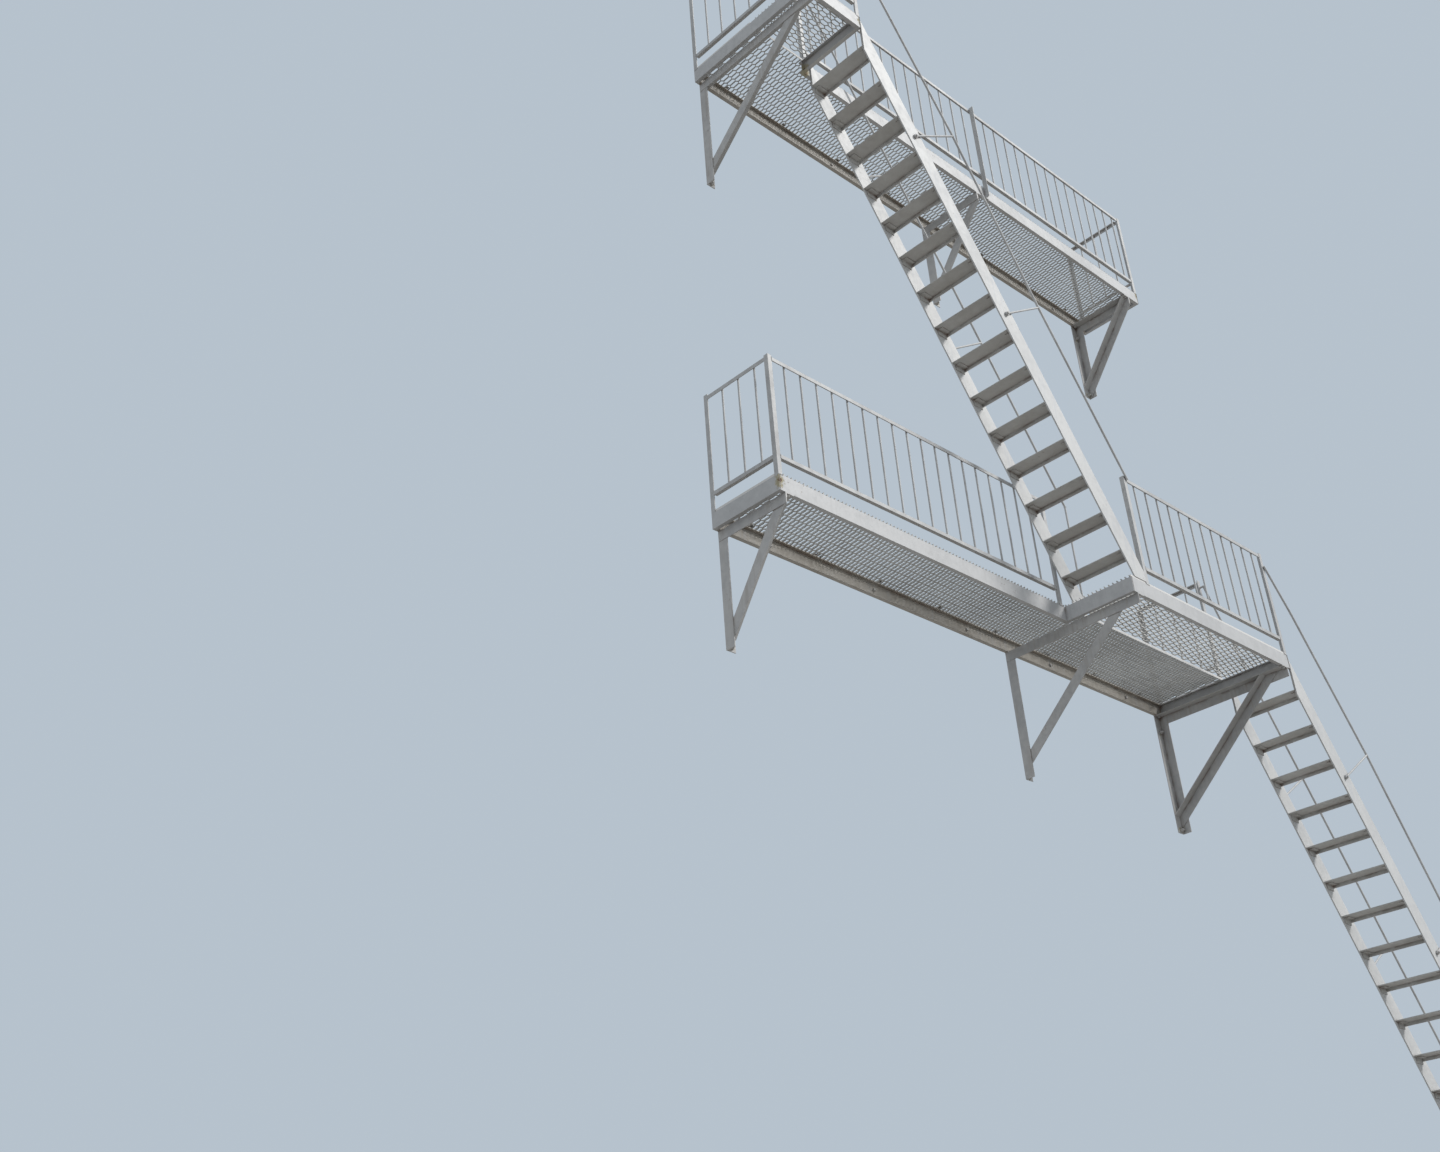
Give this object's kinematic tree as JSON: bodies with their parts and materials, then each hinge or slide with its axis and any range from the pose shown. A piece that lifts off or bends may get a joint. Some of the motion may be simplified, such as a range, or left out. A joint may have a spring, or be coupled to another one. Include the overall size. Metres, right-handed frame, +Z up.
{
  "type": "fire escape stair",
  "caption": "Wall-mounted steel fire escape: railed grating balconies on knee brackets, joined by a steep stair, with a further flight down to the ground.",
  "frame": {"origin": "centre of the wall face of the lower left bracket's wall leg", "axes": "+Y into the wall, +X along the wall to the right as seen from outside, +Z up"},
  "size_m": [8.0996, 1.122, 10.08],
  "materials": {
    "frame_paint": "weathered off-white paint with rust at the joints",
    "grating_paint": "dusty off-white paint",
    "stair_paint": "weathered off-white paint",
    "railing_paint": "weathered off-white paint"
  },
  "bodies": {
    "root": {"lower_ledger": "frame_paint", "lower_end_left": "frame_paint", "lower_end_right": "frame_paint", "lower_front_beam": "frame_paint", "lower_pad_side": "frame_paint", "lower_pad_front": "frame_paint", "lower_walk_deck": "grating_paint", "lower_pad_deck": "grating_paint", "lower_bracket_left": "frame_paint", "lower_bracket_pad": "frame_paint", "lower_bracket_right": "frame_paint", "lower_rail_left": "railing_paint", "lower_rail_front": "railing_paint", "lower_rail_pad": "railing_paint", "lower_rail_right": "railing_paint", "upper_ledger": "frame_paint", "upper_end_left": "frame_paint", "upper_end_right": "frame_paint", "upper_front_beam": "frame_paint", "upper_header": "frame_paint", "upper_pad_front": "frame_paint", "upper_walk_deck": "grating_paint", "upper_pad_deck": "grating_paint", "upper_bracket_left": "frame_paint", "upper_bracket_mid": "frame_paint", "upper_bracket_right": "frame_paint", "upper_rail_left": "railing_paint", "upper_rail_pad": "railing_paint", "upper_rail_front": "railing_paint", "upper_rail_right": "railing_paint", "upper_stringer_inner": "stair_paint", "upper_stringer_outer": "stair_paint", "upper_treads": "stair_paint", "upper_handrail_inner": "railing_paint", "upper_handrail_outer": "railing_paint", "lower_stringer_inner": "stair_paint", "lower_stringer_outer": "stair_paint", "lower_treads": "stair_paint", "lower_handrail_inner": "railing_paint", "lower_handrail_outer": "railing_paint"}
  },
  "joints": []
}
